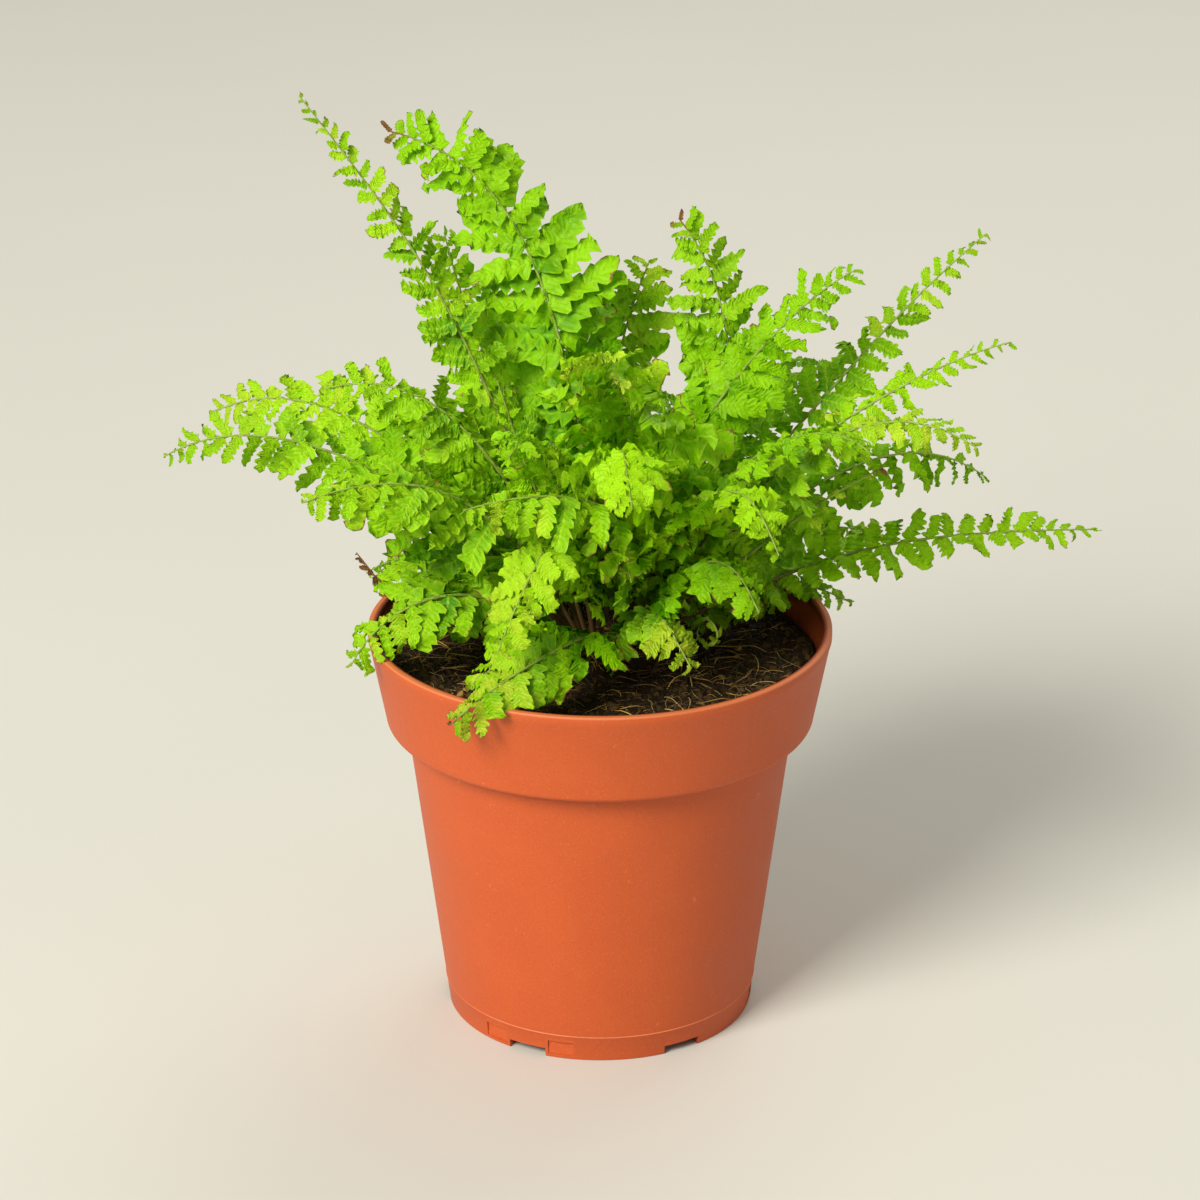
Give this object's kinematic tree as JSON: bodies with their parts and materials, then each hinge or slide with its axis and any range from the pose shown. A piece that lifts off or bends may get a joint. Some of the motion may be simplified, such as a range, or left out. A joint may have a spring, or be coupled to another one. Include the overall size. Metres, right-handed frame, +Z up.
{
  "type": "potted fern",
  "caption": "Young lime-green fern with ruffled, round-toothed leaflets on arching fronds, growing in dark peat in a matte terracotta-coloured plastic nursery pot.",
  "frame": {"origin": "on the surface that the pot stands on, below the middle of the whole plant's bounding box; the pot's own axis is 10 mm left and 7 mm front of it", "axes": "+Z up along the pot's axis, +X to the right of the side the plant is mostly seen from, -Y toward that front"},
  "size_m": [0.2389, 0.174, 0.2444],
  "materials": {
    "terracotta_plastic": "matte moulded plastic, faint speckle",
    "peat": "moist crumbly peat with fibres",
    "rhizome": "knobbly, scaly",
    "frond_lime": "soft satin leaf",
    "frond_green": "soft satin leaf",
    "frond_pale": "soft satin leaf",
    "dry_stem": "dry, dull"
  },
  "bodies": {
    "root": {"pot": "terracotta_plastic", "soil": "peat", "crown": "rhizome", "frond_left_1": "frond_lime", "frond_left_2": "frond_green", "frond_left_3": "frond_pale", "frond_left_4": "frond_lime", "frond_left_5": "frond_green", "frond_left_6": "frond_pale", "frond_left_7": "frond_lime", "frond_left_8": "frond_green", "frond_left_9": "frond_pale", "frond_left_10": "frond_lime", "frond_back_1": "frond_lime", "frond_back_2": "frond_green", "frond_back_3": "frond_pale", "frond_back_4": "frond_lime", "frond_back_5": "frond_green", "frond_back_6": "frond_pale", "frond_back_7": "frond_lime", "frond_back_8": "frond_green", "frond_back_9": "frond_pale", "frond_back_10": "frond_lime", "frond_right_1": "frond_lime", "frond_right_2": "frond_green", "frond_right_3": "frond_pale", "frond_right_4": "frond_lime", "frond_right_5": "frond_green", "frond_right_6": "frond_pale", "frond_right_7": "frond_lime", "frond_right_8": "frond_green", "frond_right_9": "frond_pale", "frond_right_10": "frond_lime", "frond_front_1": "frond_lime", "frond_front_2": "frond_green", "frond_front_3": "frond_pale", "frond_front_4": "frond_lime", "frond_front_5": "frond_green", "frond_front_6": "frond_pale", "frond_front_7": "frond_lime", "frond_front_8": "frond_green", "frond_front_9": "frond_pale", "crozier": "frond_pale", "dry_stalk": "dry_stem"}
  },
  "joints": []
}
